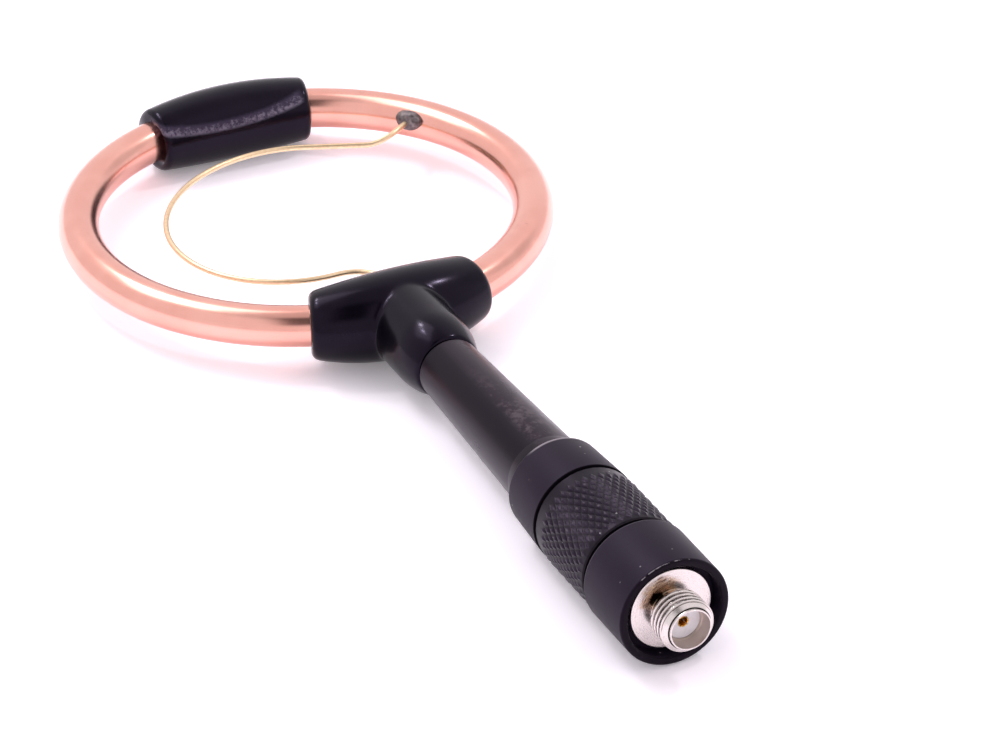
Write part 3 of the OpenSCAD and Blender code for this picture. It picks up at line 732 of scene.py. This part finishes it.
def satin_base(name, crest=False):
    """Black coated metal with a fine tooth, pale dust and wear on its rim or crests, painted shade in its
    gaps, roots and rim face, and painted highlights on its edges and crests.
    """
    s = Surface(name)
    tooth = s.noise(0.12, 3)
    cloud = s.noise(5, 3)
    dust = s.specks(1.9, 0.075) * s.noise(6, 2).between(0.4, 0.5)
    chips = s.noise(0.7, 4, 0.7)
    out = s.radius()
    tone = cloud.mix((0.0096, 0.0066, 0.014), (0.0132, 0.0094, 0.0186))
    # Painted shade: the hood's top and the collar's lower end darkened where they face each other across
    # the gap.
    groove = s.y.between(COLLAR_LOW + 0.17, COLLAR_LOW + 0.05) * s.y.between(HOOD_L - 0.25, HOOD_L)
    if crest:
        # The crests' wear, made paler also to stand for their glints, so partly a painted highlight.
        worn = out.between(GRIP_R - 0.06, GRIP_R - 0.01) * chips.between(0.45, 0.75)
        # Painted shade: the knurl's roots darker.
        tone = (out.between(GRIP_R - 0.08, GRIP_R - 0.16) * 0.7).mix(tone, (0.002, 0.0015, 0.0028))
        tone = (worn * 0.6).mix(tone, (0.16, 0.14, 0.16))
        # Painted shade: the grip's top and low lands darkened next to the gaps.
        groove = s.y.between(GRIP_TOP - 0.12, GRIP_TOP - 0.02)
        groove = groove + s.y.between(GRIP_LOW + 0.5, GRIP_LOW + 0.3)
    else:
        about = s.z.math("ARCTAN2", s.x) - WEAR_AND_HIGHLIGHT_TURN
        rim = s.y.between(0.2, 0.15) * s.y.between(0.07, 0.11) * out.between(HOOD_R - 0.3, HOOD_R - 0.14)
        # Painted shade: the rim's front face darkened.
        face = s.y.between(0.3, 0.08) * out.between(CUP_R - 0.3, CUP_R)
        tone = face.mix(tone, (0.0022, 0.0016, 0.0028))
        # Painted highlight: a lighter band round the hood's rounded top edge.
        edge = s.y.between(HOOD_L - 0.55, HOOD_L - 0.35) * s.y.between(HOOD_L - 0.08, HOOD_L - 0.25)
        tone = (edge * 0.6).mix(tone, (0.045, 0.037, 0.05))
        # Painted highlight: a pale line on the collar's rounded top, over part of its round.
        shoulder = s.y.between(COLLAR_TOP - 0.85, COLLAR_TOP - 0.55)
        shoulder = shoulder * (about + 0.25).math("ABSOLUTE").between(0.7, 0.4)
        tone = (shoulder * 0.8).mix(tone, (0.32, 0.28, 0.31))
        worn = rim * (chips + 0.2 * (about * about).between(0.35, 0.1)).between(0.66, 0.74)
        tone = (worn * 0.7).mix(tone, (0.34, 0.31, 0.34))
    tone = (dust * 0.6).mix(tone, (0.5, 0.48, 0.5))
    # The gaps' painted shade goes on last.
    tone = groove.mix(tone, (0.001, 0.0008, 0.0012))
    rough = (0.3 if crest else 0.46) + cloud * 0.07 + dust * 0.3 + groove * 0.4
    return s.finish(tooth, 0.1, 0.012, Base_Color=tone, Roughness=rough, Specular_IOR_Level=0.14,
                    Specular_Tint=BLACK_TINT)


def bright_nickel():
    """Nickel plate over turned metal: fine rings, speckle, a brown stain by the thread's foot, and
    painted shade in the thread's roots, the front bore and the tip's step.
    """
    s = Surface("bright_nickel")
    out = s.radius()
    rings = s.noise(0.09, 3, 0.7, s.vector(out, s.y * 0.6, 0))
    pits = s.noise(0.22, 4, 0.7)
    spread = s.noise(0.9, 4, 0.6)
    about = s.z.math("ARCTAN2", s.x) - STAIN_TURN
    streaks = s.noise(0.5, 4, 0.65, s.vector(about * 1.2, out * 2.2, 0))
    foot = out.between(NECK_R - 0.15, NECK_R - 0.05) * s.y.between(THREAD_FOOT + 0.1, 0.1)
    far = out - STAIN_R
    stain = foot * (about * about * 0.6 + far * far * 0.14 + spread + streaks * 0.3).between(1.2, 0.85)
    left = about - 0.25
    core = foot * (left * left * 1.1 + far * far * 0.45 + spread * 0.5).between(0.46, 0.3)
    # Painted shade: the front bore's wall darker and warmer.
    bore = out.between(FRONT_BORE_R + 0.11, FRONT_BORE_R + 0.05) * s.y.between(TIP_Y + 0.05, TIP_Y + 0.12)
    bore = bore * s.y.between(INSULATOR_LOW + 0.1, INSULATOR_LOW - 0.1)
    # Painted shade: a dark line at the step from the tip's ring to its cone.
    step = s.y.between(TIP_Y + 0.24, TIP_Y + 0.3) * s.y.between(TIP_Y + 0.42, TIP_Y + 0.36)
    step = step * out.between(FRONT_BORE_R + 0.05, FRONT_BORE_R + 0.13)
    tone = pits.between(0.55, 0.75).mix((0.7, 0.635, 0.615), (0.52, 0.455, 0.43))
    # Painted shade: the thread's roots darker.
    root = out.between(THREAD_R - 0.1, THREAD_R - 0.22) * s.y.between(THREAD_FOOT + 0.1, THREAD_FOOT)
    root = root * s.y.between(TIP_Y + 0.7, TIP_Y + 0.9)
    tone = (root * out.between(NECK_R, NECK_R + 0.15) * 0.85).mix(tone, (0.13, 0.1, 0.085))
    tone = step.mix(tone, (0.012, 0.009, 0.008))
    tone = (bore * 0.8).mix(tone, (0.58, 0.5, 0.455))
    brown = streaks.between(0.34, 0.52).mix((0.12, 0.055, 0.025), (0.72, 0.5, 0.33))
    tone = (stain * 0.85).mix(tone, brown)
    tone = core.mix(tone, (0.012, 0.006, 0.003))
    rough = 0.17 + rings * 0.14 + pits * 0.06 + bore * 0.15
    return s.finish(rings, 0.14, 0.02, Base_Color=tone, Metallic=1.0, Roughness=rough)


def white_insulator():
    """White insulator, turned in fine rings and a little soiled."""
    s = Surface("white_insulator")
    out = s.radius()
    rings = s.noise(0.08, 3, 0.6, s.vector(out, 0, 0))
    soil = s.noise(0.8, 3)
    tone = soil.between(0.35, 0.8).mix((0.95, 0.92, 0.95), (0.84, 0.79, 0.79))
    return s.finish(rings, 0.08, 0.02, Base_Color=tone, Roughness=0.34 + soil * 0.1)


def plain_metal(name, tone, dark, rough, grain=0.4):
    """Turned or drawn metal with a speckle between two tones."""
    s = Surface(name)
    speckle = s.noise(grain, 3)
    mixed = speckle.between(0.35, 0.75).mix(tone, dark)
    return s.finish(speckle, 0.08, 0.02, Base_Color=mixed, Metallic=1.0, Roughness=rough + speckle * 0.1)


def plain_dull(name, tone, dark, rough, grain=0.6):
    """Plastic, ceramic or cable jacket with a fine mottle."""
    s = Surface(name)
    mottle = s.noise(grain, 3)
    mixed = mottle.between(0.35, 0.75).mix(tone, dark)
    return s.finish(mottle, 0.1, 0.02, Base_Color=mixed, Roughness=rough + mottle * 0.1)


def solder_grey():
    """Dull solder with a lumpy skin."""
    s = Surface("solder_grey")
    lumps = s.noise(0.5, 4, 0.65)
    tone = lumps.between(0.35, 0.7).mix((0.1, 0.078, 0.082), (0.26, 0.22, 0.225))
    return s.finish(lumps, 0.5, 0.08, Base_Color=tone, Metallic=0.7, Roughness=0.36 + lumps * 0.2)


# Pieces, each with its body, the node that it stands for and its slot

copper = bare_copper()
nickel = bright_nickel()
solder = solder_grey()
insulator = white_insulator()
base_black = satin_base("satin_base")
gold_wire = plain_metal("gold_wire", (0.88, 0.67, 0.44), (0.78, 0.56, 0.34), 0.28)
gold_plate = plain_metal("gold_plate", (0.86, 0.55, 0.16), (0.6, 0.32, 0.07), 0.2, 0.2)

made = [
    (make_copper_loop(), "head", "copper_ring", "copper", copper),
    (make_sleeve(), "head", "top_sleeve", "gloss_black", gloss_black("sleeve_black", 0.5, 0.2, True)),
    (make_tee(), "head", "tee_body", "gloss_black", gloss_black("tee_black", 0.06, 0.17)),
    (make_wire(), "head", "gamma_wire", "gold_wire", gold_wire),
    (make_tap_joint(), "head", "tap_solder", "solder", solder),
    (make_stem(), "head", "stem_tube", "stem_black", satin_stem()),
    (make_collar(), "head", "base_collar", "base_black", base_black),
    (make_grip(), "base", "knurled_grip", "base_black", satin_base("knurl_black", True)),
    (make_hood(), "base", "base_hood", "base_black", base_black),
    (make_jack(), "base", "sma_body", "nickel", nickel),
    (make_insulator(), "base", "sma_dielectric", "white_insulator", insulator),
    (make_contact(), "base", "sma_contact", "gold_plate", gold_plate),
]
start_fresh()
for piece, body, node, slot, material in made:
    piece.data.materials.clear()
    piece.data.materials.append(material)
    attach(piece, body)
    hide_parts(node)

# CAD nodes that stay, inside the shells
ceramic = plain_dull("dipped_ceramic", (0.6, 0.3, 0.11), (0.42, 0.19, 0.06), 0.3)
tinned = plain_metal("tinned_wire", (0.72, 0.71, 0.7), (0.55, 0.54, 0.52), 0.28)
jacket = plain_dull("cable_jacket", (0.02, 0.02, 0.021), (0.035, 0.034, 0.035), 0.5)
braid = plain_metal("braid_copper", (0.8, 0.42, 0.3), (0.5, 0.22, 0.14), 0.3, 0.15)
washer = plain_dull("washer_black", (0.012, 0.012, 0.013), (0.022, 0.021, 0.022), 0.55)
# Painted shade: the bush's bronze darkened nearly to black, for the shade in the gap by the grip.
shaded_bronze = plain_metal("bush_bronze_painted_shade", (0.03, 0.021, 0.014), (0.018, 0.013, 0.01), 0.42)
inside = {
    ceramic: ["gap_capacitor"],
    tinned: ["capacitor_leads"],
    solder: ["gap_solder", "feed_solder", "ground_solder"],
    jacket: ["coax_jacket"],
    braid: ["coax_braid", "coax_centre"],
    insulator: ["coax_dielectric"],
    nickel: ["swivel_spindle", "retaining_ring", "lock_washer", "sma_nut", "crimp_ferrule"],
    washer: ["bearing_washer"],
    shaded_bronze: ["swivel_bush"],
}
for material, names in inside.items():
    for name in names:
        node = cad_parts[name]
        node.data.materials.clear()
        node.data.materials.append(material)


# Camera, floor and light

# The camera in millimetres and degrees, and the table's rise from the hood to the far sleeve
CAMERA_SPOT = Vector((-239.63, -490.92, 348.37))
CAMERA_AIM = Vector((4.38, 56.43, 0))
CAMERA_ROLL, CAMERA_LENS, CAMERA_AZIMUTH = -1.551, 217.7, -157
TABLE_RISE, TABLE_RUN, TABLE_SIZE = 1.97, 119.5, 6


def place_camera():
    """The photograph's view: from in front, left and above, with a long lens and a slight roll."""
    data = bpy.data.cameras.new("camera")
    camera = bpy.data.objects.new("camera", data)
    bpy.context.scene.collection.objects.link(camera)
    spot = CAMERA_SPOT * MM
    aim = CAMERA_AIM * MM
    roll = Quaternion((0, 0, 1), math.radians(CAMERA_ROLL))
    camera.rotation_mode = "QUATERNION"
    camera.location = spot
    camera.rotation_quaternion = (aim - spot).to_track_quat("-Z", "Y") @ roll
    data.sensor_width = 36
    data.lens = CAMERA_LENS
    data.clip_start, data.clip_end = 0.01, 20
    bpy.context.scene.camera = camera


def lay_floor():
    """A white table under the hood and the far sleeve, white to the lens but for the shadows."""
    start_fresh()
    bpy.ops.mesh.primitive_plane_add(size=TABLE_SIZE, rotation=(math.atan2(TABLE_RISE, TABLE_RUN), 0, 0),
                                     location=(0, HOOD_L * MM, -(HOOD_R + SEAT) * MM))
    floor = bpy.context.object
    floor.name = "floor"
    material = bpy.data.materials.new("white_table")
    material.use_nodes = True
    tree = material.node_tree
    tree.nodes.clear()
    path = Sock(tree).node("ShaderNodeLightPath", output="Is Camera Ray")
    rays = path.out.node.outputs
    seen = path + Sock(tree, rays["Is Glossy Ray"]) + Sock(tree, rays["Is Transmission Ray"])
    seen = seen.math("MINIMUM", 1.0)
    white = seen.mix((0.83, 0.78, 0.85), (1.15, 1.08, 1.17))
    matt = path.node("ShaderNodeBsdfDiffuse", None, {"Color": white})
    glow = path.node("ShaderNodeEmission", None, {"Color": (1, 1, 1, 1), "Strength": seen * 0.14})
    both = path.node("ShaderNodeAddShader", None, {"Shader": matt, "Shader_001": glow})
    out = tree.nodes.new("ShaderNodeOutputMaterial")
    tree.links.new(both.out, out.inputs["Surface"])
    floor.data.materials.append(material)


def softbox(name, spot, aim, width, height, power):
    """An area lamp, in millimetres, that faces its aim."""
    data = bpy.data.lights.new(name, "AREA")
    data.shape = "RECTANGLE"
    data.size, data.size_y = width * MM, height * MM
    data.energy = power
    lamp = bpy.data.objects.new(name, data)
    bpy.context.scene.collection.objects.link(lamp)
    lamp.location = Vector(spot) * MM
    lamp.rotation_mode = "QUATERNION"
    lamp.rotation_quaternion = (Vector(aim) - Vector(spot)).to_track_quat("-Z", "Y")


def towards(azimuth, elevation):
    """Direction from the stem's +Y side round to +X, and up from the table, in degrees."""
    turn, rise = math.radians(azimuth), math.radians(elevation)
    return Vector((math.sin(turn) * math.cos(rise), math.cos(turn) * math.cos(rise), math.sin(rise)))


# Lamps: azimuth, elevation, width and height in millimetres, and power
LAMPS = [
    ("back_lamp", -30, 58, 380, 300, 0.75),
    ("low_bulb", -17, 51, 50, 36, 0.36),
    ("high_bulb", -34, 57, 50, 36, 0.36),
    ("side_lamp", 90, 53, 30, 24, 0.5),
]
LAMP_AIM, LAMP_DISTANCE = Vector((0, 75, 0)), 620


def light_studio():
    """A white sweep behind, a greyer ceiling, a dark side where the camera stands, and the lamps."""
    world = bpy.data.worlds.new("studio")
    bpy.context.scene.world = world
    world.use_nodes = True
    tree = world.node_tree
    back = tree.nodes["Background"]
    sky = Sock(tree).node("ShaderNodeTexCoord", output="Generated")
    up = sky.node("ShaderNodeSeparateXYZ", None, {"Vector": sky}, "Z")

    def facing(azimuth, elevation):
        return sky.node("ShaderNodeVectorMath", {"operation": "DOT_PRODUCT"},
                        {"Vector": sky, "Vector_001": towards(azimuth, elevation)}, "Value")

    across = facing(CAMERA_AZIMUTH + 90, 0)
    behind_lens = (across * across).between(0.04, 0.025) * facing(CAMERA_AZIMUTH, 0).between(0.15, 0.35)
    behind_lens = behind_lens * up.between(0.42, 0.66)
    level = 1.05 - 0.35 * up.between(0.85, 0.97)
    level = level * (1 - 0.92 * behind_lens) * (1 - 0.25 * facing(88, 28).between(0.94, 0.985))
    level = level * (1 - 0.6 * facing(163, 4).between(0.96, 0.99))
    tree.links.new(level.out, back.inputs["Strength"])
    back.inputs["Color"].default_value = (1, 0.965, 1, 1)
    for name, azimuth, elevation, width, height, power in LAMPS:
        spot = LAMP_AIM + towards(azimuth, elevation) * LAMP_DISTANCE
        softbox(name, spot, LAMP_AIM, width, height, power)


place_camera()
lay_floor()
light_studio()
bpy.context.scene.view_settings.view_transform = "Standard"

start_fresh()
